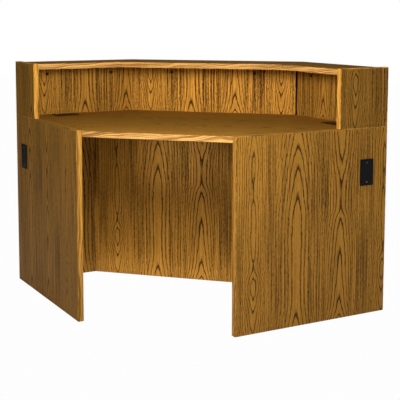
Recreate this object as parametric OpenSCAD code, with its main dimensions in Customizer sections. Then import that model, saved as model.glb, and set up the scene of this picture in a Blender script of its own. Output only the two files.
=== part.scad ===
// Corner reception desk: a 90 degree oak work surface between two splayed end panels, with a
// raised transaction counter along its public side.
//
// Millimetres, +Z up. X runs along the desk and Y runs away from the user. The origin is on the
// floor, under the centre of the bounding box. The desk mirrors about X = 0, except for one
// open joint in the riser.
//
// Two coordinates place everything on a side: "run" is the distance along the outer face of an
// end panel from its near corner, and "inset" is the distance inward from that face. "back" is
// the distance behind the line that joins the two near corners.

/* [Overall] */
// Distance between the near outer corners of the two end panels
near_span = 678; // [600:1:800]
// Length of an end panel, from its near edge to its far edge
panel_depth = 762; // [720:1:800]
// Height of the end panels below the riser
work_h = 813; // [720:1:850]
// Height of the whole desk
desk_h = 1067; // [1000:1:1150]
// Thickness of panels and tops
panel_t = 25; // [22:1:30]
// How far the end panels stand above the tops between them
proud = 3; // [1:0.5:5]
// Thickness of the solid oak edge bands
band_t = 3; // [1:0.5:5]

/* [Public side] */
// Distance from an end panel's far edge to the outer side panel
side_inset = 32; // [20:1:60]
// Outer face of the centre outer panel, behind the near corners
centre_back = 940; // [920:1:970]
// Overhang of the transaction top beyond the outer panels
top_overhang = 25; // [5:1:26]

/* [Knee space] */
// Front face of the knee panel, behind the near corners
knee_back = 769; // [700:1:800]
// Thickness of the knee panel
knee_t = 19; // [16:1:22]

/* [Riser] */
// Length of the riser ends and depth of the top between them
riser_depth = 254; // [220:1:300]
// Front edge of the transaction top's centre, behind the near corners
top_front = 672; // [640:1:720]
// Width of the open mitre at the riser's right corner
joint_gap = 6; // [0:0.5:8]
// Clearance between the transaction top and the riser ends
top_end_gap = 0.5; // [0.2:0.1:2]

/* [Cable plates] */
// Width of a cable plate
plate_w = 70; // [60:1:80]
// Height of a cable plate
plate_h = 114; // [105:1:125]
// Thickness of a cable plate
plate_t = 3; // [2:0.5:4]
// Distance between a plate's screws
plate_pitch = 83.3; // [80:0.1:90]
// Run of the plates on the end panels
end_plate_run = 653; // [600:1:670]
// Height of the middle of those plates
end_plate_z = 621; // [550:1:650]
// Run of the plates on the worktop
desk_plate_run = 638; // [600:1:645]
// Inset of the middle of the plates on the worktop
desk_plate_inset = 203; // [150:1:300]

/* [Levelling glides] */
// How far a glide winds out
glide_travel = 15; // [10:1:15]
// Radius of a glide's foot
glide_foot_r = 9.5; // [8:0.5:10]
// Radius of a glide's stem
glide_stem_r = 4; // [3:0.5:5]

/* [Hidden] */
$fn = 32;

SIDES = [-1, 1];
diag = sqrt(2);
clear = 0.1;           // radial clearance round pins and screws
cut = 1;               // how far a cutter runs past a face

// Levels
worktop_z1 = work_h - proud;
worktop_z0 = worktop_z1 - panel_t;
top_z1 = desk_h - proud;
top_z0 = top_z1 - panel_t;

// Runs and backs of the panel faces
outer_run = panel_depth - side_inset;
inner_run = outer_run - panel_t;
inner_back = centre_back - panel_t;
mid_run = outer_run - panel_t / 2;
mid_back = centre_back - panel_t / 2;
top_outer_run = outer_run + top_overhang;
top_outer_back = centre_back + top_overhang;
riser_run = panel_depth - riser_depth;
front_setback = 2;     // the tops stop this far behind the near edges of the ends
top_inner_run = riser_run + front_setback;
worktop_front = panel_t / diag + front_setback;
side_len = inner_back * diag - inner_run;   // inset of the inner corner

// The origin stands halfway between the near corners and the back of the transaction top
half_depth = top_outer_back / 2;

// Wood supports
cleat_w = 19;
cleat_h = 38;
cleat_z0 = worktop_z0 - cleat_h;
block_leg = 60;
block_z0 = 20;
block_z1 = 740;

// Cable plates
plate_r = 4;
cutout_w = 50;
cutout_h = 70;
screw_head_r = 3.6;
screw_head_h = 1;
plate_screw_r = 1.9;
plate_screw_len = 20;

// Cam fittings: 15 mm lock, 34 mm from the joint
cam_r = 7.5;
cam_depth = 13;
cam_axis = 7.5;        // depth of the bolt's axis below the lock's face
cam_slot_w = 1.6;
cam_slot_h = 1.5;
cam_reach = 34;
cam_bolt_r = 3.5;
cam_bolt_bite = 11;
cam_bolt_start = 1;
cam_zs = [150, 400, 650];
worktop_cam_runs = [110, 300, 490];
top_cam_x = 209;
top_cam_insets = [138, 476];

// Dowels
dowel_r = 4;
dowel_len = 38;
panel_dowel_zs = [80, 275, 525, 720];
riser_dowel_r = 5;
riser_dowel_len = 70;
riser_end_runs = [560, 700];
riser_side_insets = [110, 307, 500];
riser_centre_xs = [-300, -100, 100, 300];
top_dowel_insets = [80, 307, 530];
top_dowel_xs = [-330, 0, 330];
top_dowel_bite = 15;

// Screws through the wood supports
cleat_screw_r = 2;
cleat_screw_len = 32;
cleat_screw_rise = 12; // height above the cleat's underside
up_screw_len = 50;
up_screw_bite = 13;    // how far an upward screw goes into the worktop
up_screw_shift = 25;   // from the sideways screw beside it
up_screw_z = worktop_z0 + up_screw_bite - up_screw_len / 2;
end_cleat_run = 60;
end_cleat_len = 560;
side_cleat_start = 40;
side_cleat_len = 260;
knee_cleat_w = 42;
knee_screw_in = 26;
end_screw_runs = [100, 340, 580];
side_screw_insets = [80, 240];
rail_half = 470;
rail_xs = [-400, 0, 400];
knee_screw_zs = [150, 400, 650];

// Levelling glides
foot_gap = 0.5;        // a wound-in foot stops short of the floor
foot_h = 4.5;
pocket_h = 5.5;
pocket_r = glide_foot_r + 1;
insert_r = 6;
insert_h = 18;
stem_top = pocket_h + insert_h + glide_travel;   // a wound-out stem still fills its insert
stem_fit = 0.05;       // radial clearance of the stem in its insert
stem_room = 0.5;       // and in the wood above it
glide_near_run = 45;
glide_far_run = 690;
glide_side_inset = 300;
glide_centre_x = 330;

// Colours
oak = [0.55, 0.36, 0.14];
oak_dark = [0.42, 0.26, 0.09];
oak_edge = [0.85, 0.60, 0.28];
softwood = [0.80, 0.68, 0.45];
black_plastic = [0.05, 0.05, 0.05];
dark_steel = [0.25, 0.25, 0.26];
zinc = [0.70, 0.70, 0.72];

// Plan point from a run and an inset, on the right side
function side_pt(run, inset) = [near_span / 2 + (run - inset) / diag, (run + inset) / diag];

// Plan X where the side line at a run meets the line at a back distance
function corner_x(run, back) = near_span / 2 + run * diag - back;

// Puts a right-hand shape on side k: 1 is right and -1 is left
module on_side(k) {
    if (k > 0) {
        children();
    } else {
        mirror([1, 0, 0]) children();
    }
}

// Local frame of an end panel: x along the run, y inward, z up
module at_side(k, run, inset, z) {
    on_side(k)
        translate([near_span / 2, -half_depth, 0])
            rotate([0, 0, 45])
                translate([run, inset, z]) children();
}

// Frame of the centre panels: x across the desk, y backward
module at_centre(x, back, z) {
    translate([x, back - half_depth, z]) children();
}

// Upright slab over a plan outline
module slab(points, z0, z1) {
    translate([0, -half_depth, z0]) linear_extrude(z1 - z0) polygon(points);
}

// Strip along a side between two runs, mitred to the centre strip between two backs
module side_strip(k, run0, run1, back0, back1, z0, z1, inset = panel_t) {
    on_side(k) slab([
        side_pt(run0, inset), side_pt(run1, inset),
        [corner_x(run1, back1), back1], [corner_x(run0, back0), back0]
    ], z0, z1);
}

// The centre strip that meets both side strips
module centre_strip(run0, run1, back0, back1, z0, z1) {
    x0 = corner_x(run0, back0);
    x1 = corner_x(run1, back1);
    slab([[-x0, back0], [x0, back0], [x1, back1], [-x1, back1]], z0, z1);
}

// ---- Fittings, drawn once as parts and again with room = clear as the holes for them ----

// Cam lock in a face at z = 0, with its bolt towards +x
module cam_lock(room = 0) {
    above = room > 0 ? cut : 0;
    translate([0, 0, -cam_depth - room]) cylinder(r = cam_r + room, h = cam_depth + room + above);
}

module cam_lock_body() {
    difference() {
        cam_lock();
        translate([0, 0, -cam_axis]) rotate([0, 90, 0]) cylinder(r = cam_bolt_r + clear, h = cam_r + cut);
        translate([-cam_r, -cam_slot_w / 2, -cam_slot_h]) cube([2 * cam_r, cam_slot_w, cam_slot_h + cut]);
    }
}

module cam_bolt(room = 0) {
    translate([cam_bolt_start, 0, -cam_axis]) rotate([0, 90, 0])
        cylinder(r = cam_bolt_r + room, h = cam_reach + cam_bolt_bite - cam_bolt_start + room);
}

// Upright pin, centred on the origin
module pin(r, len, room = 0) {
    cylinder(r = r + room, h = len + 2 * room, center = true);
}

// Screw that points down from a head seated on z = 0
module plate_screw(room = 0) {
    translate([0, 0, -plate_screw_len]) cylinder(r = plate_screw_r + room, h = plate_screw_len + cut / 2);
}

// ---- Placing of the fittings ----

module panel_cam_places(k) {
    for (z = cam_zs)
        at_side(k, inner_run, panel_t + cam_reach, z) rotate([90, 0, 0]) rotate([0, -90, 0]) children();
}

module worktop_cam_places(k) {
    for (run = worktop_cam_runs)
        at_side(k, run, panel_t + cam_reach, worktop_z0) rotate([0, 0, -90]) rotate([180, 0, 0]) children();
}

module side_top_cam_places(k) {
    for (inset = top_cam_insets)
        at_side(k, inner_run, inset, top_z0 - cam_reach) rotate([0, -90, 0]) children();
}

module centre_top_cam_places() {
    for (x = [-top_cam_x, top_cam_x])
        at_centre(x, inner_back, top_z0 - cam_reach) rotate([0, 0, 90]) rotate([0, -90, 0]) children();
}

module panel_dowel_places(k) {
    for (z = panel_dowel_zs)
        at_side(k, mid_run, panel_t, z) rotate([90, 0, 0]) children();
}

module riser_end_dowel_places(k) {
    for (run = riser_end_runs) at_side(k, run, panel_t / 2, work_h) children();
}

module riser_side_dowel_places(k) {
    for (inset = riser_side_insets) at_side(k, mid_run, inset, worktop_z1 - panel_t / 2) children();
}

module riser_centre_dowel_places() {
    for (x = riser_centre_xs) at_centre(x, mid_back, worktop_z1 - panel_t / 2) children();
}

module side_top_dowel_places(k) {
    for (inset = top_dowel_insets)
        at_side(k, mid_run, inset, top_z0 + top_dowel_bite - dowel_len / 2) children();
}

module centre_top_dowel_places() {
    for (x = top_dowel_xs)
        at_centre(x, mid_back, top_z0 + top_dowel_bite - dowel_len / 2) children();
}

module end_plate_place(k) {
    at_side(k, end_plate_run, 0, end_plate_z) rotate([90, 0, 0]) children();
}

module desk_plate_place(k) {
    at_side(k, desk_plate_run, desk_plate_inset, worktop_z1) children();
}

module plate_screw_spots() {
    for (y = [-plate_pitch / 2, plate_pitch / 2]) translate([0, y, plate_t]) children();
}

// Screws of one end cleat: into the end panel and up into the worktop
module end_cleat_screws(k, room = 0) {
    for (run = end_screw_runs) {
        at_side(k, run, panel_t + cleat_w - cleat_screw_len / 2, cleat_z0 + cleat_screw_rise)
            rotate([90, 0, 0]) pin(cleat_screw_r, cleat_screw_len, room);
        at_side(k, run + up_screw_shift, panel_t + cleat_w / 2, up_screw_z)
            pin(cleat_screw_r, up_screw_len, room);
    }
}

// Screws of one side cleat: into the outer panel and up into the worktop
module side_cleat_screws(k, room = 0) {
    for (inset = side_screw_insets) {
        at_side(k, inner_run - cleat_w + cleat_screw_len / 2, inset, cleat_z0 + cleat_screw_rise)
            rotate([0, 90, 0]) pin(cleat_screw_r, cleat_screw_len, room);
        at_side(k, inner_run - cleat_w / 2, inset + up_screw_shift, up_screw_z)
            pin(cleat_screw_r, up_screw_len, room);
    }
}

// Screws of the knee panel's top rail: into the panel and up into the worktop
module rail_screws(room = 0) {
    for (x = rail_xs) {
        at_centre(x, knee_back + knee_t + cleat_w - cleat_screw_len / 2, cleat_z0 + cleat_screw_rise)
            rotate([90, 0, 0]) pin(cleat_screw_r, cleat_screw_len, room);
        at_centre(x + up_screw_shift, knee_back + knee_t + cleat_w / 2, up_screw_z)
            pin(cleat_screw_r, up_screw_len, room);
    }
}

// Screws of one knee cleat, into the back of the knee panel
module knee_cleat_screws(k, room = 0) {
    for (z = knee_screw_zs)
        on_side(k) at_centre(corner_x(inner_run, knee_back + knee_t) - knee_screw_in,
            knee_back + knee_t + cleat_w - cleat_screw_len / 2, z)
            rotate([90, 0, 0]) pin(cleat_screw_r, cleat_screw_len, room);
}

// The glide at the origin, wound in
module glide() {
    color(zinc) {
        translate([0, 0, foot_gap]) cylinder(r = glide_foot_r, h = foot_h);
        translate([0, 0, foot_gap + foot_h]) cylinder(r = glide_stem_r, h = stem_top - foot_gap - foot_h);
    }
}

module glide_insert() {
    difference() {
        translate([0, 0, pocket_h]) cylinder(r = insert_r, h = insert_h);
        cylinder(r = glide_stem_r + stem_fit, h = stem_top);
    }
}

module glide_pocket() {
    translate([0, 0, -cut]) cylinder(r = pocket_r, h = pocket_h + cut);
    translate([0, 0, pocket_h]) cylinder(r = insert_r, h = insert_h);
    cylinder(r = glide_stem_r + stem_room, h = stem_top + 2 * cut);
}

module near_glide_place(k) {
    at_side(k, glide_near_run, panel_t / 2, 0) children();
}

module far_glide_place(k) {
    at_side(k, glide_far_run, panel_t / 2, 0) children();
}

module side_glide_place(k) {
    at_side(k, mid_run, glide_side_inset, 0) children();
}

module centre_glide_place(k) {
    at_centre(k * glide_centre_x, mid_back, 0) children();
}

// ---- Panels ----

module end_panel(k) {
    color(oak) difference() {
        at_side(k, band_t, 0, 0) cube([panel_depth - 2 * band_t, panel_t, work_h - band_t]);
        at_side(k, end_plate_run - cutout_w / 2, -cut, end_plate_z - cutout_h / 2)
            cube([cutout_w, panel_t + 2 * cut, cutout_h]);
        end_plate_place(k) plate_screw_spots() plate_screw(clear);
        panel_cam_places(k) cam_bolt(clear);
        worktop_cam_places(k) cam_bolt(clear);
        panel_dowel_places(k) pin(dowel_r, dowel_len, clear);
        riser_end_dowel_places(k) pin(riser_dowel_r, riser_dowel_len, clear);
        end_cleat_screws(k, clear);
        near_glide_place(k) glide_pocket();
        far_glide_place(k) glide_pocket();
    }
}

// Bands on the near, far and top edges of an end, from run0 between two levels
module edge_bands(k, run0, z0, z1, dowel_holes) {
    color(oak_edge) {
        at_side(k, run0, 0, z0) cube([band_t, panel_t, z1 - z0]);
        at_side(k, panel_depth - band_t, 0, z0) cube([band_t, panel_t, z1 - z0]);
        difference() {
            at_side(k, run0 + band_t, 0, z1 - band_t)
                cube([panel_depth - run0 - 2 * band_t, panel_t, band_t]);
            if (dowel_holes) riser_end_dowel_places(k) pin(riser_dowel_r, riser_dowel_len, clear);
        }
    }
}

module end_edge_bands(k) {
    edge_bands(k, 0, 0, work_h, true);
}

module side_outer_panel(k) {
    color(oak) difference() {
        side_strip(k, inner_run, outer_run, inner_back, centre_back, 0, worktop_z0);
        panel_cam_places(k) {
            cam_lock(clear);
            cam_bolt(clear);
        }
        panel_dowel_places(k) pin(dowel_r, dowel_len, clear);
        riser_side_dowel_places(k) pin(riser_dowel_r, riser_dowel_len, clear);
        side_cleat_screws(k, clear);
        side_glide_place(k) glide_pocket();
    }
}

module centre_outer_panel() {
    color(oak) difference() {
        centre_strip(inner_run, outer_run, inner_back, centre_back, 0, worktop_z0);
        riser_centre_dowel_places() pin(riser_dowel_r, riser_dowel_len, clear);
        for (k = SIDES) centre_glide_place(k) glide_pocket();
    }
}

module knee_panel() {
    color(oak) difference() {
        centre_strip(inner_run, inner_run, knee_back, knee_back + knee_t, 0, worktop_z0);
        rail_screws(clear);
        for (k = SIDES) knee_cleat_screws(k, clear);
    }
}

module worktop() {
    run = outer_run - band_t;
    back = centre_back - band_t;
    front = worktop_front + band_t;
    front_x = near_span / 2 - panel_t * diag + front;
    right = [[front_x, front], side_pt(run, panel_t), [corner_x(run, back), back]];
    left = [for (i = [2, 1, 0]) [-right[i][0], right[i][1]]];
    color(oak_dark) difference() {
        slab(concat(right, left), worktop_z0, worktop_z1);
        for (k = SIDES) {
            at_side(k, desk_plate_run - cutout_w / 2, desk_plate_inset - cutout_h / 2, worktop_z0 - cut)
                cube([cutout_w, cutout_h, panel_t + 2 * cut]);
            desk_plate_place(k) plate_screw_spots() plate_screw(clear);
            worktop_cam_places(k) {
                cam_lock(clear);
                cam_bolt(clear);
            }
            riser_side_dowel_places(k) pin(riser_dowel_r, riser_dowel_len, clear);
            end_cleat_screws(k, clear);
            side_cleat_screws(k, clear);
        }
        riser_centre_dowel_places() pin(riser_dowel_r, riser_dowel_len, clear);
        rail_screws(clear);
    }
}

module worktop_front_band() {
    x0 = near_span / 2 - panel_t * diag + worktop_front;
    x1 = x0 + band_t;
    back = worktop_front + band_t;
    color(oak_edge)
        slab([[-x0, worktop_front], [x0, worktop_front], [x1, back], [-x1, back]], worktop_z0, worktop_z1);
}

module worktop_back_bands() {
    run = outer_run - band_t;
    back = centre_back - band_t;
    color(oak_edge) {
        for (k = SIDES) side_strip(k, run, outer_run, back, centre_back, worktop_z0, worktop_z1);
        centre_strip(run, outer_run, back, centre_back, worktop_z0, worktop_z1);
    }
}

// ---- Riser and transaction top ----

module riser_end(k) {
    color(oak_dark) difference() {
        at_side(k, riser_run + band_t, 0, work_h)
            cube([riser_depth - 2 * band_t, panel_t, desk_h - work_h - band_t]);
        riser_end_dowel_places(k) pin(riser_dowel_r, riser_dowel_len, clear);
    }
}

module riser_edge_bands(k) {
    edge_bands(k, riser_run, work_h, desk_h, false);
}

module side_riser_back(k) {
    color(oak) difference() {
        side_strip(k, inner_run, outer_run, inner_back, centre_back, worktop_z1, top_z0);
        riser_side_dowel_places(k) pin(riser_dowel_r, riser_dowel_len, clear);
        side_top_dowel_places(k) pin(dowel_r, dowel_len, clear);
        side_top_cam_places(k) {
            cam_lock(clear);
            cam_bolt(clear);
        }
    }
}

// Mitred to the side backs, and cut short on the right, which leaves that mitre open
module centre_riser_back() {
    gap_x = joint_gap / cos(22.5);
    near_x = corner_x(inner_run, inner_back);
    far_x = corner_x(outer_run, centre_back);
    color(oak) difference() {
        slab([[-near_x, inner_back], [near_x - gap_x, inner_back],
            [far_x - gap_x, centre_back], [-far_x, centre_back]], worktop_z1, top_z0);
        riser_centre_dowel_places() pin(riser_dowel_r, riser_dowel_len, clear);
        centre_top_dowel_places() pin(dowel_r, dowel_len, clear);
        centre_top_cam_places() {
            cam_lock(clear);
            cam_bolt(clear);
        }
    }
}

module transaction_top() {
    run0 = top_inner_run + band_t;
    run1 = top_outer_run - band_t;
    back0 = top_front + band_t;
    back1 = top_outer_back - band_t;
    right = [
        [corner_x(run0, back0), back0], side_pt(run0, panel_t + top_end_gap),
        side_pt(run1, panel_t + top_end_gap), [corner_x(run1, back1), back1]
    ];
    left = [for (i = [3:-1:0]) [-right[i][0], right[i][1]]];
    color(oak_dark) difference() {
        slab(concat(right, left), top_z0, top_z1);
        for (k = SIDES) {
            side_top_dowel_places(k) pin(dowel_r, dowel_len, clear);
            side_top_cam_places(k) cam_bolt(clear);
        }
        centre_top_dowel_places() pin(dowel_r, dowel_len, clear);
        centre_top_cam_places() cam_bolt(clear);
    }
}

// Three bands that follow the transaction top's edge between two runs and two backs
module top_bands(run0, run1, back0, back1) {
    color(oak_edge) {
        for (k = SIDES) side_strip(k, run0, run1, back0, back1, top_z0, top_z1, panel_t + top_end_gap);
        centre_strip(run0, run1, back0, back1, top_z0, top_z1);
    }
}

module top_front_bands() {
    top_bands(top_inner_run, top_inner_run + band_t, top_front, top_front + band_t);
}

module top_back_bands() {
    top_bands(top_outer_run - band_t, top_outer_run, top_outer_back - band_t, top_outer_back);
}

// ---- Wood supports ----

module end_cleat(k) {
    color(softwood) difference() {
        at_side(k, end_cleat_run, panel_t, cleat_z0) cube([end_cleat_len, cleat_w, cleat_h]);
        end_cleat_screws(k, clear);
    }
}

module side_cleat(k) {
    color(softwood) difference() {
        at_side(k, inner_run - cleat_w, side_cleat_start, cleat_z0)
            cube([cleat_w, side_cleat_len, cleat_h]);
        side_cleat_screws(k, clear);
    }
}

module knee_panel_rail() {
    color(softwood) difference() {
        at_centre(-rail_half, knee_back + knee_t, cleat_z0) cube([2 * rail_half, cleat_w, cleat_h]);
        rail_screws(clear);
    }
}

module knee_cleat(k) {
    back0 = knee_back + knee_t;
    back1 = back0 + cleat_w;
    x0 = corner_x(inner_run, back0);
    color(softwood) difference() {
        on_side(k) slab([
            [x0 - knee_cleat_w, back0], [x0, back0],
            [corner_x(inner_run, back1), back1], [x0 - knee_cleat_w, back1]
        ], block_z0, block_z1);
        knee_cleat_screws(k, clear);
    }
}

module corner_block(k) {
    x0 = corner_x(inner_run, inner_back);
    color(softwood) on_side(k)
        slab([[x0, inner_back], [x0 - block_leg, inner_back], side_pt(inner_run, side_len - block_leg)],
            block_z0, block_z1);
}

// ---- Cable plates ----

// Plate with rounded corners, lying on z = 0
module cable_plate() {
    x = plate_w / 2 - plate_r;
    y = plate_h / 2 - plate_r;
    color(black_plastic) difference() {
        union() {
            translate([-plate_w / 2, -y, 0]) cube([plate_w, 2 * y, plate_t]);
            translate([-x, -plate_h / 2, 0]) cube([2 * x, plate_h, plate_t]);
            for (i = SIDES, j = SIDES) translate([i * x, j * y, 0]) cylinder(r = plate_r, h = plate_t);
        }
        plate_screw_spots() plate_screw(clear);
    }
}

module cable_plate_screws() {
    color(dark_steel) for (k = SIDES) {
        end_plate_place(k) plate_screw_spots() screw_with_head();
        desk_plate_place(k) plate_screw_spots() screw_with_head();
    }
}

module screw_with_head() {
    plate_screw();
    cylinder(r = screw_head_r, h = screw_head_h);
}

// ---- Groups of like fittings ----

module panel_dowels() {
    color(softwood) for (k = SIDES) panel_dowel_places(k) pin(dowel_r, dowel_len);
}

module riser_dowels() {
    color(softwood) {
        for (k = SIDES) {
            riser_end_dowel_places(k) pin(riser_dowel_r, riser_dowel_len);
            riser_side_dowel_places(k) pin(riser_dowel_r, riser_dowel_len);
        }
        riser_centre_dowel_places() pin(riser_dowel_r, riser_dowel_len);
    }
}

module top_dowels() {
    color(softwood) {
        for (k = SIDES) side_top_dowel_places(k) pin(dowel_r, dowel_len);
        centre_top_dowel_places() pin(dowel_r, dowel_len);
    }
}

module panel_cam_locks() {
    color(dark_steel) for (k = SIDES) panel_cam_places(k) cam_lock_body();
}

module panel_cam_bolts() {
    color(zinc) for (k = SIDES) panel_cam_places(k) cam_bolt();
}

module worktop_cam_locks() {
    color(dark_steel) for (k = SIDES) worktop_cam_places(k) cam_lock_body();
}

module worktop_cam_bolts() {
    color(zinc) for (k = SIDES) worktop_cam_places(k) cam_bolt();
}

module top_cam_locks() {
    color(dark_steel) {
        for (k = SIDES) side_top_cam_places(k) cam_lock_body();
        centre_top_cam_places() cam_lock_body();
    }
}

module top_cam_bolts() {
    color(zinc) {
        for (k = SIDES) side_top_cam_places(k) cam_bolt();
        centre_top_cam_places() cam_bolt();
    }
}

module cleat_screws() {
    color(zinc) {
        for (k = SIDES) {
            end_cleat_screws(k);
            side_cleat_screws(k);
            knee_cleat_screws(k);
        }
        rail_screws();
    }
}

module glide_inserts() {
    color(zinc) for (k = SIDES) {
        near_glide_place(k) glide_insert();
        far_glide_place(k) glide_insert();
        side_glide_place(k) glide_insert();
        centre_glide_place(k) glide_insert();
    }
}

end_panel(-1);  // left_end_panel
end_panel(1);  // right_end_panel
end_edge_bands(-1);  // left_end_edge_bands
end_edge_bands(1);  // right_end_edge_bands
side_outer_panel(-1);  // left_outer_panel
centre_outer_panel();
side_outer_panel(1);  // right_outer_panel
knee_panel();
worktop();
worktop_front_band();
worktop_back_bands();
riser_end(-1);  // left_riser_end
riser_end(1);  // right_riser_end
riser_edge_bands(-1);  // left_riser_edge_bands
riser_edge_bands(1);  // right_riser_edge_bands
side_riser_back(-1);  // left_riser_back
centre_riser_back();
side_riser_back(1);  // right_riser_back
transaction_top();
top_front_bands();
top_back_bands();
end_cleat(-1);  // left_end_cleat
end_cleat(1);  // right_end_cleat
side_cleat(-1);  // left_side_cleat
side_cleat(1);  // right_side_cleat
knee_panel_rail();
knee_cleat(-1);  // left_knee_cleat
knee_cleat(1);  // right_knee_cleat
corner_block(-1);  // left_corner_block
corner_block(1);  // right_corner_block
end_plate_place(-1) cable_plate();  // left_end_cable_plate
end_plate_place(1) cable_plate();  // right_end_cable_plate
desk_plate_place(-1) cable_plate();  // left_desk_cable_plate
desk_plate_place(1) cable_plate();  // right_desk_cable_plate
cable_plate_screws();
panel_dowels();
riser_dowels();
top_dowels();
panel_cam_locks();
panel_cam_bolts();
worktop_cam_locks();
worktop_cam_bolts();
top_cam_locks();
top_cam_bolts();
cleat_screws();
glide_inserts();
near_glide_place(-1) glide();  // left_near_glide
near_glide_place(1) glide();  // right_near_glide
far_glide_place(-1) glide();  // left_far_glide
far_glide_place(1) glide();  // right_far_glide
side_glide_place(-1) glide();  // left_side_glide
side_glide_place(1) glide();  // right_side_glide
centre_glide_place(-1) glide();  // left_centre_glide
centre_glide_place(1) glide();  // right_centre_glide
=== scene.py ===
"""Looks, light and camera for the corner reception desk.

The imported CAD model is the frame. Every board keeps its CAD shape and gets a procedural oak
veneer whose figure is the section of growth rings by the board's face. Lengths are metres, in the
row frame: X along the desk, Y away from the user, Z up, origin on the floor.
"""
import math

import bmesh
import bpy
from mathutils import Matrix, Vector

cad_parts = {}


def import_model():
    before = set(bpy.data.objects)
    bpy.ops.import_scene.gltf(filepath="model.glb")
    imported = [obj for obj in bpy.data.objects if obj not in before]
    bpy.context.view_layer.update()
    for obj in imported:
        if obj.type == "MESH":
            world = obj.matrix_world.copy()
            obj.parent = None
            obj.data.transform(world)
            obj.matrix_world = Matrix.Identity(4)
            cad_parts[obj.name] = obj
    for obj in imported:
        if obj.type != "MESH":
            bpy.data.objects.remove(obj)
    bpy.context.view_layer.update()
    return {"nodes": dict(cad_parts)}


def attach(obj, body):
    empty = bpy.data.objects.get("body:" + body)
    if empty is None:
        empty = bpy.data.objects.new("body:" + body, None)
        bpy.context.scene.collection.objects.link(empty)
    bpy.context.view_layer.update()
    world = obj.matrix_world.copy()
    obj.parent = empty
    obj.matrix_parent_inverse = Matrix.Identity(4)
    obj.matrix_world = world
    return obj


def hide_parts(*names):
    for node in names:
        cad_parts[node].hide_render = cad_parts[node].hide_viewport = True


# Layout of the desk, as in the CAD source
NEAR_HALF = 0.339
HALF_DEPTH = 0.4825
WORKTOP_TOP = 0.810
END_HEIGHT = 0.813
TOP_HEIGHT = 1.067
BAND = 0.003
PLATE_THICK = 0.003
PLATE_PITCH = 0.0833
END_PLATE_RUN = 0.653
END_PLATE_Z = 0.621
DESK_PLATE_RUN = 0.638
DESK_PLATE_INSET = 0.203
DIAGONAL = math.sqrt(0.5)
MITRE = math.radians(22.5)
SIDES = {"left": -1, "right": 1}
UP = Vector((0.0, 0.0, 1.0))
ALONG_DESK = Vector((1.0, 0.0, 0.0))
AWAY = Vector((0.0, 1.0, 0.0))

# Veneer figure: three leaves side by side, then the same again
FIGURE_PERIOD = 0.667
# How deep the log's centre lies under the face, at heights above a board's lower end
EYE_DEPTHS = [(0.00, 0.047), (0.04, 0.040), (0.095, 0.0335), (0.147, 0.020), (0.19, 0.013), (0.229, 0.020),
              (0.285, 0.0345), (0.32, 0.0315), (0.43, 0.0275), (0.53, 0.0315), (0.555, 0.0345),
              (0.60, 0.0350), (0.64, 0.0325), (0.70, 0.0310), (0.74, 0.0345), (0.80, 0.042), (1.10, 0.060)]
CORE_DEPTHS = [(0.00, 0.012), (0.045, 0.020), (0.10, 0.0255), (0.45, 0.0265), (0.543, 0.034),
               (0.668, 0.046), (0.754, 0.057), (0.85, 0.066), (1.10, 0.080)]
ARCH_DEPTHS = [(0.00, 0.014), (0.089, 0.034), (0.290, 0.046), (0.430, 0.057), (0.475, 0.0665),
               (0.535, 0.0682), (0.595, 0.0665), (0.680, 0.057), (0.82, 0.048), (1.10, 0.036)]
# Each leaf's place across the figure, narrowing, boldness of its lines, and depths
LEAVES = [(0.0, 1.20, 0.85, EYE_DEPTHS), (0.212, 0.74, 0.95, CORE_DEPTHS), (0.437, 0.90, 1.15, ARCH_DEPTHS)]
# The range of the depth curves
CURVE_HEIGHT = 1.10
CURVE_DEPTH = 0.10
# Rings: radius of the first, how much closer they get outward, and how pointed their tips are
FIRST_RING = 0.020
RING_POWER = 1.333
TIP_POWER = 1.45
# Darkness across one growth ring, whose dark line is at its start
RING_LINE = [(0.0, 0.90), (0.05, 1.0), (0.16, 0.40), (0.28, 0.0), (0.93, 0.0), (1.0, 0.90)]
# 1 in a leaf and 0 between leaves, by the distance from the leaf's centre in tenths of a metre
LEAF_REACH = [(0.30, 1.0), (0.75, 0.0)]
TENTHS = 10.0

# Veneer grain: densities are noise cells per metre across and along the grain. Sway and jitter are
# how far the grain bends, in metres
SWAY_DENSITY = (9.0, 2.4)
SWAY = 0.016
JITTER_DENSITY = (70.0, 20.0)
JITTER = 0.009
BEAD_DENSITY = (260.0, 70.0)
THREAD_DENSITY = (260.0, 2.5)
THREAD_MIDDLE = 0.46
PORE_DENSITY = (900.0, 45.0)
PORE_SPREAD = [(0.50, 0.0), (0.62, 1.0)]
DRIFT_DENSITY = (14.0, 1.1)
DRIFT = 0.16
# How strongly beads break up the ring lines
BEADING = 1.8
# Darkening by each kind of grain: between the leaves, and in a leaf
LINE_SHARES = (0.48, 0.98)
THREAD_SHARES = (2.5, 1.2)
BEAD_SHARES = (0.8, 0.4)
PLAIN_SHARES = (0.20, 0.10)
# Darkening by pores: off the ring lines, and on them
PORE_SHARES = (0.22, 0.52)

# Solid wood: bend of the grain, then the density along it and the darkening of each kind of streak
BEND_DENSITY = (6.0, 4.0)
BEND = 0.06
BROAD_DENSITY = 3.0
BROAD_SHARE = 4.0
SHORT_DENSITY = 16.0
SHORT_SHARE = 2.0
FINE_PORE_DENSITY = 60.0
FINE_PORE_SPREAD = [(0.52, 0.0), (0.66, 1.0)]
FINE_PORE_SHARE = 0.25
SOLID_SHARE = 0.38
# Broad streaks per metre across the grain
EDGING_FINE = 400.0
PINE_FINE = 160.0
# Directions across the grain, off the pieces' own axes so that neighbours differ
LEVEL_PINE = (0.31, 0.23, 0.92)
UPRIGHT_PINE = (0.6, 0.8, 0.05)
# The level bands' grain rises a little along them
LEVEL_BAND = (-0.09, 0.0, 1.0)

# Painted shade on a board's skin, for the shade in the narrow open mitre and on the outer panels' faces in
# the knee space: the skin's thickness, and its tone in the open mitre and inside
SHADE_SKIN = 0.0006
MITRE_SHADE_SHARE = 0.03
INSIDE_SHADE_SHARE = 0.70

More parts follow.
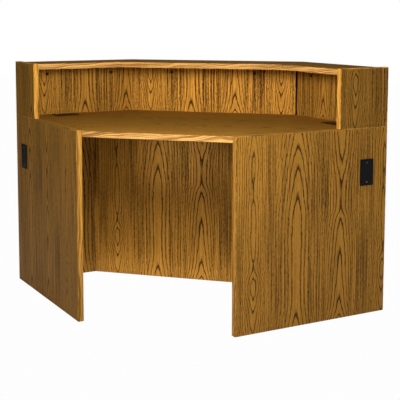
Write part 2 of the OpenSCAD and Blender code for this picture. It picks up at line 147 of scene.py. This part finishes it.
# Finish of each material: roughness and specular level
VENEER_FINISH = (0.5, 0.10)
TOP_FINISH = (0.6, 0.12)
BAND_FINISH = (0.45, 0.15)
PINE_FINISH = (0.7, 0.2)
DOWEL_FINISH = (0.6, 0.2)
PLASTIC_FINISH = (0.48, 0.22)
METAL_ROUGHNESS = 0.5
ZINC_ROUGHNESS = 0.34
# The level boards' grain is fainter
TOP_GRIT = 0.25
# Relief: its depth, and the strength of each kind
BUMP_DEPTH = 0.0002
WOOD_BUMP = 0.35
PLASTIC_BUMP = 0.25
METAL_BUMP = 0.08
# Mottle of plastic and metal: cells per metre, and levels of finer cells in them
PLASTIC_MOTTLE = (900.0, 3.0)
METAL_MOTTLE = (260.0, 4.0)
METAL_SPREAD = [(0.35, 0.0), (0.65, 1.0)]

# Roundings
BAND_ROUND = 0.0008
PLATE_ROUND = 0.0009
GLIDE_ROUND = 0.0007
WELD_DISTANCE = 0.00002
SHARP_ANGLE = math.radians(50)

# Colours, linear
OAK_LIGHT = (0.610, 0.285, 0.038, 1.0)
OAK_DARK = (0.058, 0.023, 0.0055, 1.0)
LEVEL_EDGE_LIGHT = (1.000, 0.530, 0.150, 1.0)
UPRIGHT_EDGE_LIGHT = (1.000, 0.480, 0.070, 1.0)
EDGE_DARK = (0.290, 0.115, 0.017, 1.0)
PINE_LIGHT = (0.640, 0.460, 0.240, 1.0)
PINE_DARK = (0.420, 0.260, 0.110, 1.0)
PLASTIC_DARK = (0.003, 0.003, 0.003, 1.0)
PLASTIC_LIGHT = (0.008, 0.008, 0.008, 1.0)
SCREW_LIGHT = (0.42, 0.40, 0.37, 1.0)
SCREW_DARK = (0.30, 0.28, 0.26, 1.0)
BRONZE_LIGHT = (0.075, 0.042, 0.016, 1.0)
BRONZE_DARK = (0.040, 0.022, 0.009, 1.0)
ZINC_LIGHT = (0.66, 0.67, 0.70, 1.0)
ZINC_DARK = (0.50, 0.51, 0.53, 1.0)
WHITE = (1.0, 1.0, 1.0, 1.0)
FLOOR_GREY = (0.80, 0.80, 0.80, 1.0)

# Plate screw, in (radius, height) pairs above the plate's face, and half the width of its slot
SCREW_SHANK = [(0, -0.0195), (0.0012, -0.0195), (0.0019, -0.016), (0.0019, 0.0), (0.0036, 0.0),
               (0.0036, 0.0003), (0, 0.0003)]
SCREW_HEAD = [(0, 0.0003), (0.0036, 0.0003), (0.0034, 0.0006), (0.0028, 0.00085), (0.0018, 0.00097),
              (0, 0.001)]
SLOT_HALF = 0.0004
CUT_TOLERANCE = 1e-7
# The slots of a plate's two screws differ by this angle
SLOT_TURN = math.radians(20)

# Studio: light from all round, the floor's half width, and how white the floor shows
AMBIENT = 0.03
FLOOR_REACH = 14.0
FLOOR_GLOW = 0.985
FULL_SPREAD = 180.0
# Each light: name, place, target, width, height, power in watts and spread in degrees
LIGHTS = [
    ("key", (0.24, -1.30, 1.36), (0.09, 0.3, 0.90), 0.7, 0.3, 16.5, FULL_SPREAD),
    ("front_fill", (0.9, -3.4, 1.30), (0.0, 0.3, 0.85), 1.4, 0.9, 24.0, FULL_SPREAD),
    ("right_fill", (3.4, -1.8, 1.3), (0.6, 0.0, 0.6), 1.4, 1.4, 25.0, FULL_SPREAD),
    ("left_fill", (-2.6, -2.6, 1.9), (-0.4, 0.0, 0.8), 1.4, 1.4, 24.0, FULL_SPREAD),
    ("low_front", (0.2, -1.9, 0.22), (-0.1, 0.3, 0.12), 0.9, 0.3, 3.0, FULL_SPREAD),
    ("knee_fill", (-0.1, -2.1, 0.60), (-0.14, 0.29, 0.64), 0.3, 0.05, 0.13, 14.0),
    ("floor_card", (-0.15, 0.20, 0.012), (-0.15, 0.29, 0.03), 0.9, 0.02, 0.20, FULL_SPREAD),
    ("back_fill", (-1.2, 4.2, 2.4), (0.0, 0.2, 0.5), 2.4, 1.6, 90.0, FULL_SPREAD),
    ("right_back_fill", (3.6, 2.0, 2.0), (0.5, 0.2, 0.5), 1.6, 1.6, 30.0, FULL_SPREAD),
]
# Camera: sensor and lens in millimetres, shift in frame widths, angles in degrees
SENSOR = 36.0
LENS = 85.704
SHIFT_X = 0.05
SHIFT_Y = -0.20
CLIP_END = 100.0
CAMERA_PLACE = (1.1939, -4.0963, 1.2886)
CAMERA_DIP = 6.303
CAMERA_TURN = 16.715


class Graph:
    """Adds linked shader nodes to one node tree."""

    def __init__(self, tree):
        self.tree = tree

    def add(self, kind, **settings):
        node = self.tree.nodes.new(kind)
        for name, value in settings.items():
            setattr(node, name, value)
        return node

    def feed(self, socket, value):
        if isinstance(value, bpy.types.NodeSocket):
            self.tree.links.new(value, socket)
        else:
            socket.default_value = value

    def math(self, operation, *values):
        node = self.add("ShaderNodeMath", operation=operation)
        for socket, value in zip(node.inputs, values):
            self.feed(socket, value)
        return node.outputs[0]

    def vector(self, *parts):
        node = self.add("ShaderNodeCombineXYZ")
        for socket, value in zip(node.inputs, parts):
            self.feed(socket, value)
        return node.outputs[0]

    def along(self, position, direction, start=0.0):
        """Distance of a position along a direction, plus a start value."""
        node = self.add("ShaderNodeVectorMath", operation="DOT_PRODUCT")
        self.feed(node.inputs[0], position)
        self.feed(node.inputs[1], direction)
        return self.math("ADD", node.outputs["Value"], start)

    def streaks(self, across, along, density, seed, detail=2.0):
        """Noise from 0 to 1 that is drawn out along the grain, by its densities across and along."""
        node = self.add("ShaderNodeTexNoise")
        place = self.vector(
            self.math("MULTIPLY", across, density[0]),
            self.math("MULTIPLY", along, density[1]),
            seed,
        )
        self.feed(node.inputs["Vector"], place)
        node.inputs["Scale"].default_value = 1.0
        node.inputs["Detail"].default_value = detail
        return node.outputs["Fac"]

    def mottle(self, position, cells):
        """Noise from 0 to 1 that is even in every direction."""
        node = self.add("ShaderNodeTexNoise")
        self.feed(node.inputs["Vector"], position)
        node.inputs["Scale"].default_value, node.inputs["Detail"].default_value = cells
        return node.outputs["Fac"]

    def vary(self, base, noise, amount, middle=0.5):
        """A base value, raised or lowered by noise about its middle."""
        return self.math("MULTIPLY_ADD", self.math("SUBTRACT", noise, middle), amount, base)

    def between(self, share, ends):
        """The first end where the share is 0 and the second where it is 1."""
        return self.math("MULTIPLY_ADD", share, ends[1] - ends[0], ends[0])

    def limit(self, value):
        """The value, held between 0 and 1."""
        return self.math("MINIMUM", self.math("MAXIMUM", value, 0.0), 1.0)

    def choose(self, second_chosen, first, second):
        """The first value where the switch is 0 and the second where it is 1."""
        kept = self.math("MULTIPLY", first, self.math("SUBTRACT", 1.0, second_chosen))
        return self.math("MULTIPLY_ADD", second, second_chosen, kept)

    def ramp(self, value, stops):
        """Grey level for a value, from a list of (position, level)."""
        node = self.add("ShaderNodeValToRGB")
        self.feed(node.inputs[0], value)
        elements = node.color_ramp.elements
        while len(elements) < len(stops):
            elements.new(0.5)
        for element, (position, level) in zip(elements, stops):
            element.position = position
            element.color = (level, level, level, 1.0)
        return node.outputs["Color"]

    def mix(self, share, first, second):
        """A colour between two colours."""
        node = self.add("ShaderNodeMix", data_type="RGBA")
        # Sockets 6 and 7 and output 2 are the node's colours
        self.feed(node.inputs[0], share)
        self.feed(node.inputs[6], first)
        self.feed(node.inputs[7], second)
        return node.outputs[2]

    def curve(self, value, points):
        """Smooth curve through (height, depth) points."""
        node = self.add("ShaderNodeFloatCurve")
        self.feed(node.inputs["Value"], self.math("DIVIDE", value, CURVE_HEIGHT))
        line = node.mapping.curves[0]
        for height, depth in points[1:-1]:
            line.points.new(height / CURVE_HEIGHT, depth / CURVE_DEPTH)
        line.points[0].location = (0.0, points[0][1] / CURVE_DEPTH)
        line.points[-1].location = (1.0, points[-1][1] / CURVE_DEPTH)
        node.mapping.update()
        return self.math("MULTIPLY", node.outputs["Value"], CURVE_DEPTH)

    def bump(self, shader, height, strength):
        """Gives a shader a fine relief."""
        node = self.add("ShaderNodeBump")
        node.inputs["Strength"].default_value = strength
        node.inputs["Distance"].default_value = BUMP_DEPTH
        self.feed(node.inputs["Height"], height)
        self.feed(shader.inputs["Normal"], node.outputs[0])


# ---- Grain ----

def start_group(name):
    """An empty node group that turns a place in the grain into colour and grain height."""
    tree = bpy.data.node_groups.new(name, "ShaderNodeTree")
    for socket in ("Across", "Along", "Tone", "Grit"):
        tree.interface.new_socket(socket, in_out="INPUT", socket_type="NodeSocketFloat")
    tree.interface.new_socket("Color", in_out="OUTPUT", socket_type="NodeSocketColor")
    tree.interface.new_socket("Height", in_out="OUTPUT", socket_type="NodeSocketFloat")
    return tree, Graph(tree), tree.nodes.new("NodeGroupInput")


def end_group(tree, graph, entry, colour, height):
    """Scales the colour by the tone and connects the group's outputs."""
    leave = tree.nodes.new("NodeGroupOutput")
    scaled = graph.add("ShaderNodeVectorMath", operation="SCALE")
    graph.feed(scaled.inputs[0], colour)
    graph.feed(scaled.inputs["Scale"], entry.outputs["Tone"])
    graph.feed(leave.inputs["Color"], scaled.outputs[0])
    graph.feed(leave.inputs["Height"], height)
    return tree


def ring_number(graph, across, along):
    """Growth ring count at a point, distance from the nearest leaf's centre, and that leaf's boldness."""
    nearest = None
    for centre, narrowing, boldness, depths in LEAVES:
        shifted = graph.math("SUBTRACT", across, centre)
        wrapped = graph.math("WRAP", shifted, FIGURE_PERIOD / 2, -FIGURE_PERIOD / 2)
        distance = graph.math("ABSOLUTE", wrapped)
        here = graph.curve(along, depths)
        if nearest is None:
            nearest = distance
            depth = here
            scale = narrowing
            bold = boldness
            continue
        closer = graph.math("LESS_THAN", distance, nearest)
        depth = graph.choose(closer, depth, here)
        scale = graph.choose(closer, scale, narrowing)
        bold = graph.choose(closer, bold, boldness)
        nearest = graph.math("MINIMUM", distance, nearest)
    sideways = graph.math("POWER", graph.math("MULTIPLY", nearest, scale), TIP_POWER)
    total = graph.math("ADD", sideways, graph.math("POWER", depth, TIP_POWER))
    radius = graph.math("POWER", total, 1.0 / TIP_POWER)
    rings = graph.math("POWER", graph.math("DIVIDE", radius, FIRST_RING), RING_POWER)
    return rings, nearest, bold


def oak_figure():
    """Flat-sawn oak veneer: ring lines, threads, beads, open pores and a slow change of tone."""
    tree, graph, entry = start_group("oak_figure")
    across = entry.outputs["Across"]
    along = entry.outputs["Along"]
    sway = graph.streaks(across, along, SWAY_DENSITY, seed=1.7)
    jitter = graph.streaks(across, along, JITTER_DENSITY, seed=5.1)
    bent = graph.vary(graph.vary(across, sway, SWAY), jitter, JITTER)
    rings, distance, bold = ring_number(graph, bent, along)
    in_leaf = graph.ramp(graph.math("MULTIPLY", distance, TENTHS), LEAF_REACH)
    beads = graph.streaks(bent, along, BEAD_DENSITY, seed=3.9)
    threads = graph.streaks(across, along, THREAD_DENSITY, seed=2.9, detail=1.0)
    pores = graph.streaks(across, along, PORE_DENSITY, seed=9.3, detail=1.0)
    pores = graph.ramp(pores, PORE_SPREAD)
    drift = graph.streaks(across, along, DRIFT_DENSITY, seed=7.7)
    line = graph.ramp(graph.math("FRACT", rings), RING_LINE)
    line = graph.math("MULTIPLY", line, graph.vary(1.0, beads, BEADING))
    line_share = graph.math("MULTIPLY", graph.between(in_leaf, LINE_SHARES), bold)
    dark = graph.between(in_leaf, PLAIN_SHARES)
    dark = graph.vary(dark, threads, graph.between(in_leaf, THREAD_SHARES), THREAD_MIDDLE)
    dark = graph.vary(dark, beads, graph.between(in_leaf, BEAD_SHARES))
    dark = graph.math("MULTIPLY", dark, entry.outputs["Grit"])
    dark = graph.math("MULTIPLY_ADD", line, line_share, dark)
    dark = graph.math("MULTIPLY_ADD", pores, graph.between(line, PORE_SHARES), dark)
    dark = graph.limit(graph.vary(dark, drift, DRIFT))
    colour = graph.mix(dark, OAK_LIGHT, OAK_DARK)
    height = graph.math("MULTIPLY", pores, -1.0)
    return end_group(tree, graph, entry, colour, height)


def solid_grain(name, light, dark, fine):
    """Straight-grained solid wood: streaks, short dashes and fine pores."""
    tree, graph, entry = start_group(name)
    across = entry.outputs["Across"]
    along = entry.outputs["Along"]
    sway = graph.streaks(across, along, BEND_DENSITY, seed=2.3)
    bent = graph.vary(across, sway, BEND)
    broad = graph.streaks(bent, along, (fine, BROAD_DENSITY), seed=0.4, detail=1.0)
    short = graph.streaks(bent, along, (fine * 2, SHORT_DENSITY), seed=4.4)
    pores = graph.streaks(bent, along, (fine * 4, FINE_PORE_DENSITY), seed=8.8, detail=1.0)
    share = graph.vary(SOLID_SHARE, broad, BROAD_SHARE)
    share = graph.vary(share, short, SHORT_SHARE)
    share = graph.math("MULTIPLY_ADD", graph.ramp(pores, FINE_PORE_SPREAD), FINE_PORE_SHARE, share)
    share = graph.limit(share)
    colour = graph.mix(share, light, dark)
    height = graph.math("MULTIPLY", share, -1.0)
    return end_group(tree, graph, entry, colour, height)


def new_material(name):
    """A material with a Principled shader, and its graph, shader and object position."""
    material = bpy.data.materials.new(name)
    material.use_nodes = True
    tree = material.node_tree
    tree.nodes.clear()
    graph = Graph(tree)
    shader = graph.add("ShaderNodeBsdfPrincipled")
    output = graph.add("ShaderNodeOutputMaterial")
    tree.links.new(shader.outputs[0], output.inputs["Surface"])
    position = graph.add("ShaderNodeTexCoord").outputs["Object"]
    return material, graph, shader, position


def set_finish(shader, finish):
    roughness, shine = finish
    shader.inputs["Roughness"].default_value = roughness
    shader.inputs["Specular IOR Level"].default_value = shine


def wood(name, group, across, along, tone, finish, grit=1.0):
    """Wood of one group. Across and along are functions of the graph and the position."""
    material, graph, shader, position = new_material(name)
    grain = graph.add("ShaderNodeGroup", node_tree=group)
    graph.feed(grain.inputs["Across"], across(graph, position))
    graph.feed(grain.inputs["Along"], along(graph, position))
    grain.inputs["Tone"].default_value = tone
    grain.inputs["Grit"].default_value = grit
    graph.feed(shader.inputs["Base Color"], grain.outputs["Color"])
    set_finish(shader, finish)
    graph.bump(shader, grain.outputs["Height"], WOOD_BUMP)
    return material


# ---- Coordinates ----

def axis(direction, start=0.0):
    """A coordinate that grows along a direction."""
    def read(graph, position):
        return graph.along(position, direction, start)
    return read


def near_corner(side):
    return Vector((side * NEAR_HALF, -HALF_DEPTH, 0.0))


def run_direction(side):
    """Away from the near corner, along an end panel."""
    return Vector((side * DIAGONAL, DIAGONAL, 0.0))


def inset_direction(side):
    """Inward, square to an end panel."""
    return Vector((-side * DIAGONAL, DIAGONAL, 0.0))


def run_axis(side, sign=1.0, start=0.0):
    """Distance along the outer face of an end panel from its near corner."""
    direction = run_direction(side)
    return axis(sign * direction, start - sign * direction.dot(near_corner(side)))


def inset_axis(side, sign=1.0, start=0.0):
    """Distance inward from the outer face of an end panel."""
    direction = inset_direction(side)
    return axis(sign * direction, start - sign * direction.dot(near_corner(side)))


def up_axis(start=0.0):
    return axis(UP, start)


def folded_axis(direction, start):
    """A coordinate that runs there and back within the figure's height."""
    def read(graph, position):
        return graph.math("PINGPONG", graph.along(position, direction, start), CURVE_HEIGHT)
    return read


def upright_or_level(level, upright, flat):
    """One coordinate below a level and another above it."""
    def read(graph, position):
        above = graph.math("GREATER_THAN", graph.along(position, UP), level)
        return graph.choose(above, upright(graph, position), flat(graph, position))
    return read


# ---- Wood ----

def paint(frame, node, material):
    mesh = frame["nodes"][node].data
    mesh.materials.clear()
    mesh.materials.append(material)


def soften(frame, node, width, segments=2):
    """Welds the facets and rounds the sharp edges a little."""
    target = frame["nodes"][node]
    weld = target.modifiers.new("weld", "WELD")
    weld.merge_threshold = WELD_DISTANCE
    bevel = target.modifiers.new("edges", "BEVEL")
    bevel.width = width
    bevel.segments = segments
    bevel.limit_method = "ANGLE"
    bevel.angle_limit = SHARP_ANGLE


def paint_shade_on_skin(frame, node, direction, share):
    """Paints shade: scales the tone of a board's faces at its extreme along a direction."""
    mesh = frame["nodes"][node].data
    extreme = max(direction.dot(vertex.co) for vertex in mesh.vertices)
    graph = Graph(mesh.materials[0].node_tree)
    position = graph.add("ShaderNodeTexCoord").outputs["Object"]
    inside = graph.math("LESS_THAN", graph.along(position, direction), extreme - SHADE_SKIN)
    grain = next(item for item in graph.tree.nodes if item.type == "GROUP")
    tone = grain.inputs["Tone"].default_value
    graph.feed(grain.inputs["Tone"], graph.between(inside, (tone * share, tone)))


def paint_panels(frame, figure):
    """Upright boards: the figure stands on each board's lower end."""
    floor_up = up_axis()
    riser_up = up_axis(-WORKTOP_TOP)
    # Each board: coordinates across and along its grain, tone and grit. The tone is partly the board's own
    # and partly painted light and shade, making some boards brighter and others darker to match how light
    # falls on them
    boards = {
        "right_end_panel": (run_axis(1, 1, -0.083), floor_up, 0.70, 1.0),
        "left_end_panel": (run_axis(-1, -1, 0.790), floor_up, 0.73, 1.0),
        "right_riser_end": (run_axis(1, 1, -0.585), riser_up, 0.54, 1.0),
        "left_riser_end": (run_axis(-1, -1, 0.760), riser_up, 0.66, 1.0),
        "knee_panel": (axis(ALONG_DESK, 0.450), floor_up, 0.94, 1.0),
        "left_outer_panel": (inset_axis(-1, 1, -0.090), floor_up, 1.0, 1.0),
        "right_outer_panel": (inset_axis(1, -1, 0.690), floor_up, 1.0, 1.0),
        "centre_outer_panel": (axis(-ALONG_DESK, 0.180), floor_up, 1.0, 1.0),
        "centre_riser_back": (axis(ALONG_DESK, 0.322), riser_up, 1.55, 1.5),
        "left_riser_back": (inset_axis(-1, 1, -0.121), riser_up, 1.0, 1.3),
        "right_riser_back": (inset_axis(1, -1, 0.818), riser_up, 1.0, 1.3),
    }
    for node, (across, along, tone, grit) in boards.items():
        paint(frame, node, wood(node + "_oak", figure, across, along, tone, VENEER_FINISH, grit))
    # Painted shade across the open mitre, from the centre riser back to the right one, for the shade in the
    # narrow gap
    to_mitre = Vector((math.cos(MITRE), -math.sin(MITRE), 0.0))
    paint_shade_on_skin(frame, "centre_riser_back", to_mitre, MITRE_SHADE_SHARE)
    paint_shade_on_skin(frame, "right_riser_back", -to_mitre, MITRE_SHADE_SHARE)
    # Painted shade on the outer panels' faces seen from the knee space, where shade falls under the worktop
    for word, side in SIDES.items():
        paint_shade_on_skin(frame, f"{word}_outer_panel", -run_direction(side), INSIDE_SHADE_SHARE)


def paint_tops(frame, figure):
    """Level boards: the grain runs along the desk."""
    across = axis(AWAY, 0.330)
    along = folded_axis(ALONG_DESK, 0.640)
    # The tops' tones are partly the boards' own and partly painted shade, darkening the level faces to
    # match how little light falls on them
    for node, tone in (("worktop", 0.80), ("transaction_top", 0.72)):
        paint(frame, node, wood(node + "_oak", figure, across, along, tone, TOP_FINISH, TOP_GRIT))


def paint_bands(frame, upright_edging, level_edging):
    """Solid oak bands: the grain follows each band."""
    for word, side in SIDES.items():
        across = inset_axis(side)
        # The tone is partly the band's own and partly painted light and shade, set to match how light falls
        # on each band
        for part, level, tone in (("end", END_HEIGHT, 0.55), ("riser", TOP_HEIGHT, 0.86)):
            node = f"{word}_{part}_edge_bands"
            along = upright_or_level(level - BAND, up_axis(side * 0.3), run_axis(side))
            paint(frame, node, wood(node + "_oak", upright_edging, across, along, tone, BAND_FINISH))
            soften(frame, node, BAND_ROUND)
    # Each level band starts at another place in the grain. Its tone is partly the band's own and partly
    # painted light and shade, set to match how light falls on each band
    for node, start, tone in (("worktop_front_band", 0.4, 0.64), ("worktop_back_bands", 1.9, 0.64),
                              ("top_front_bands", 3.1, 0.92), ("top_back_bands", 4.6, 0.92)):
        across = axis(LEVEL_BAND, start)
        along = axis(ALONG_DESK, start)
        paint(frame, node, wood(node + "_oak", level_edging, across, along, tone, BAND_FINISH))
        soften(frame, node, BAND_ROUND)


def paint_supports(frame, pine):
    """Unfinished softwood inside the desk."""
    tilted = axis(LEVEL_PINE)
    upright = axis(UPRIGHT_PINE)
    for word, side in SIDES.items():
        for part, along in (("end", run_axis(side)), ("side", inset_axis(side))):
            node = f"{word}_{part}_cleat"
            paint(frame, node, wood(node + "_pine", pine, tilted, along, 1.0, PINE_FINISH))
        for part in ("knee_cleat", "corner_block"):
            node = f"{word}_{part}"
            paint(frame, node, wood(node + "_pine", pine, upright, up_axis(), 0.95, PINE_FINISH))
    paint(frame, "knee_panel_rail", wood("rail_pine", pine, tilted, axis(ALONG_DESK), 1.0, PINE_FINISH))
    for node in ("panel_dowels", "riser_dowels", "top_dowels"):
        paint(frame, node, wood(node + "_beech", pine, tilted, up_axis(), 0.9, DOWEL_FINISH))


# ---- Plastic and metal ----

def black_plastic():
    """Moulded black plastic with a fine satin texture."""
    material, graph, shader, position = new_material("black_plastic")
    mottle = graph.mottle(position, PLASTIC_MOTTLE)
    graph.feed(shader.inputs["Base Color"], graph.mix(mottle, PLASTIC_DARK, PLASTIC_LIGHT))
    set_finish(shader, PLASTIC_FINISH)
    graph.bump(shader, mottle, PLASTIC_BUMP)
    return material


def metal(name, light, dark, roughness):
    """Plated steel with a faint mottle."""
    material, graph, shader, position = new_material(name)
    mottle = graph.mottle(position, METAL_MOTTLE)
    spread = graph.ramp(mottle, METAL_SPREAD)
    graph.feed(shader.inputs["Base Color"], graph.mix(spread, light, dark))
    shader.inputs["Metallic"].default_value = 1.0
    shader.inputs["Roughness"].default_value = roughness
    graph.bump(shader, mottle, METAL_BUMP)
    return material


def paint_hardware(frame):
    """Plates, cam locks, bolts, screws and glides."""
    plastic = black_plastic()
    bronze = metal("dark_bronze", BRONZE_LIGHT, BRONZE_DARK, METAL_ROUGHNESS)
    zinc = metal("zinc_steel", ZINC_LIGHT, ZINC_DARK, ZINC_ROUGHNESS)
    for node in ("panel_cam_locks", "worktop_cam_locks", "top_cam_locks"):
        paint(frame, node, bronze)
    for node in ("panel_cam_bolts", "worktop_cam_bolts", "top_cam_bolts", "cleat_screws", "glide_inserts"):
        paint(frame, node, zinc)
    for word in SIDES:
        for place in ("end", "desk"):
            node = f"{word}_{place}_cable_plate"
            paint(frame, node, plastic)
            soften(frame, node, PLATE_ROUND, 3)
        for place in ("near", "far", "side", "centre"):
            node = f"{word}_{place}_glide"
            paint(frame, node, zinc)
            soften(frame, node, GLIDE_ROUND)


# ---- Plate screws ----

def lathe(mesh, profile, facets=40):
    """Closed solid of revolution about Z from (radius, height) pairs, first and last on the axis."""
    rings = []
    for radius, height in profile:
        if radius == 0:
            rings.append([mesh.verts.new((0, 0, height))])
            continue
        turn = [2 * math.pi * i / facets for i in range(facets)]
        rings.append([mesh.verts.new((radius * math.cos(a), radius * math.sin(a), height)) for a in turn])
    for lower, upper in zip(rings, rings[1:]):
        for i in range(facets):
            j = (i + 1) % facets
            below = [lower[k % len(lower)] for k in (i, j)]
            above = [upper[k % len(upper)] for k in (j, i)]
            mesh.faces.new(dict.fromkeys(below + above))


def half_head(side):
    """The part of a screw head on one side of its slot."""
    half = bmesh.new()
    lathe(half, SCREW_HEAD)
    everything = half.verts[:] + half.edges[:] + half.faces[:]
    cut = bmesh.ops.bisect_plane(
        half,
        geom=everything,
        dist=CUT_TOLERANCE,
        plane_co=(side * SLOT_HALF, 0, 0),
        plane_no=(side, 0, 0),
        clear_inner=True,
    )
    rim = [edge for edge in cut["geom_cut"] if isinstance(edge, bmesh.types.BMEdge)]
    bmesh.ops.holes_fill(half, edges=rim)
    mesh = bpy.data.meshes.new("half_head")
    half.to_mesh(mesh)
    half.free()
    return mesh


def slotted_screw():
    """Screw on Z, its head from 0 to 1 mm above the plate, with a slot along Y across the head."""
    whole = bmesh.new()
    lathe(whole, SCREW_SHANK)
    for side in (1, -1):
        half = half_head(side)
        whole.from_mesh(half)
        bpy.data.meshes.remove(half)
    bmesh.ops.recalc_face_normals(whole, faces=whole.faces[:])
    mesh = bpy.data.meshes.new("slotted_screw")
    whole.to_mesh(mesh)
    whole.free()
    return mesh


def plate_screw_frames():
    """Where the plate screws stand: a matrix each, with Z out of the plate and Y along the slot."""
    frames = []
    for side in SIDES.values():
        run = run_direction(side)
        inset = inset_direction(side)
        end_centre = near_corner(side) + run * END_PLATE_RUN + UP * END_PLATE_Z
        desk_centre = near_corner(side) + run * DESK_PLATE_RUN + inset * DESK_PLATE_INSET + UP * WORKTOP_TOP
        for centre, pitch, out in ((end_centre, UP, -inset), (desk_centre, inset, UP)):
            for half in (-0.5, 0.5):
                place = centre + pitch * (half * PLATE_PITCH) + out * PLATE_THICK
                facing = Matrix((pitch.cross(out), pitch, out)).transposed().to_4x4()
                turn = Matrix.Rotation(half * SLOT_TURN, 4, "Z")
                frames.append(Matrix.Translation(place) @ facing @ turn)
    return frames


def build_plate_screws():
    """All eight screws as one piece, in place of the plain CAD ones."""
    one = slotted_screw()
    joined = bmesh.new()
    for place in plate_screw_frames():
        copy = one.copy()
        copy.transform(place)
        joined.from_mesh(copy)
        bpy.data.meshes.remove(copy)
    mesh = bpy.data.meshes.new("plate_screws")
    joined.to_mesh(mesh)
    joined.free()
    bpy.data.meshes.remove(one)
    mesh.materials.append(metal("dark_steel", SCREW_LIGHT, SCREW_DARK, METAL_ROUGHNESS))
    screws = bpy.data.objects.new("plate_screws", mesh)
    bpy.context.scene.collection.objects.link(screws)
    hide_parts("cable_plate_screws")
    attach(screws, "desk")


# ---- Studio ----

def aimed(place, target):
    """A matrix at a place whose -Z points at the target."""
    direction = Vector(target) - Vector(place)
    return Matrix.Translation(place) @ direction.to_track_quat("-Z", "Y").to_matrix().to_4x4()


def area_light(name, place, target, width, height, power, spread):
    data = bpy.data.lights.new(name, "AREA")
    data.shape = "RECTANGLE"
    data.size = width
    data.size_y = height
    data.energy = power
    data.spread = math.radians(spread)
    light = bpy.data.objects.new(name, data)
    light.matrix_world = aimed(place, target)
    light.visible_camera = False
    light.visible_glossy = False
    bpy.context.scene.collection.objects.link(light)


def build_world():
    """White behind the desk, and a dimmer even light round it."""
    world = bpy.data.worlds.new("studio")
    bpy.context.scene.world = world
    world.use_nodes = True
    tree = world.node_tree
    tree.nodes.clear()
    graph = Graph(tree)
    seen = graph.add("ShaderNodeLightPath").outputs["Is Camera Ray"]
    background = graph.add("ShaderNodeBackground")
    output = graph.add("ShaderNodeOutputWorld")
    background.inputs["Color"].default_value = WHITE
    graph.feed(background.inputs["Strength"], graph.between(seen, (AMBIENT, 1.0)))
    tree.links.new(background.outputs[0], output.inputs["Surface"])


def floor_paint():
    """Pale matte paint that is white to the eye."""
    material = bpy.data.materials.new("floor_paint")
    material.use_nodes = True
    tree = material.node_tree
    tree.nodes.clear()
    graph = Graph(tree)
    matte = graph.add("ShaderNodeBsdfDiffuse")
    matte.inputs["Color"].default_value = FLOOR_GREY
    white = graph.add("ShaderNodeEmission")
    white.inputs["Strength"].default_value = FLOOR_GLOW
    seen = graph.add("ShaderNodeLightPath").outputs["Is Camera Ray"]
    blend = graph.add("ShaderNodeMixShader")
    output = graph.add("ShaderNodeOutputMaterial")
    graph.feed(blend.inputs[0], seen)
    tree.links.new(matte.outputs[0], blend.inputs[1])
    tree.links.new(white.outputs[0], blend.inputs[2])
    tree.links.new(blend.outputs[0], output.inputs["Surface"])
    return material


def build_floor():
    """A plain pale floor."""
    mesh = bpy.data.meshes.new("floor")
    corners = [(x * FLOOR_REACH, y * FLOOR_REACH, 0) for x, y in ((-1, -1), (1, -1), (1, 1), (-1, 1))]
    mesh.from_pydata(corners, [], [(0, 1, 2, 3)])
    mesh.materials.append(floor_paint())
    floor = bpy.data.objects.new("floor", mesh)
    bpy.context.scene.collection.objects.link(floor)


def build_camera():
    data = bpy.data.cameras.new("camera")
    data.sensor_width = SENSOR
    data.lens = LENS
    data.shift_x = SHIFT_X
    data.shift_y = SHIFT_Y
    data.clip_end = CLIP_END
    camera = bpy.data.objects.new("camera", data)
    camera.location = CAMERA_PLACE
    camera.rotation_euler = (math.radians(90.0 - CAMERA_DIP), 0.0, math.radians(CAMERA_TURN))
    bpy.context.scene.collection.objects.link(camera)
    bpy.context.scene.camera = camera


def main():
    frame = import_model()
    bpy.context.scene.view_settings.view_transform = "Standard"
    figure = oak_figure()
    upright_edging = solid_grain("upright_oak_edging", UPRIGHT_EDGE_LIGHT, EDGE_DARK, EDGING_FINE)
    level_edging = solid_grain("level_oak_edging", LEVEL_EDGE_LIGHT, EDGE_DARK, EDGING_FINE)
    pine = solid_grain("pine", PINE_LIGHT, PINE_DARK, PINE_FINE)
    paint_panels(frame, figure)
    paint_tops(frame, figure)
    paint_bands(frame, upright_edging, level_edging)
    paint_supports(frame, pine)
    paint_hardware(frame)
    build_plate_screws()
    build_world()
    build_floor()
    for light in LIGHTS:
        area_light(*light)
    build_camera()


main()
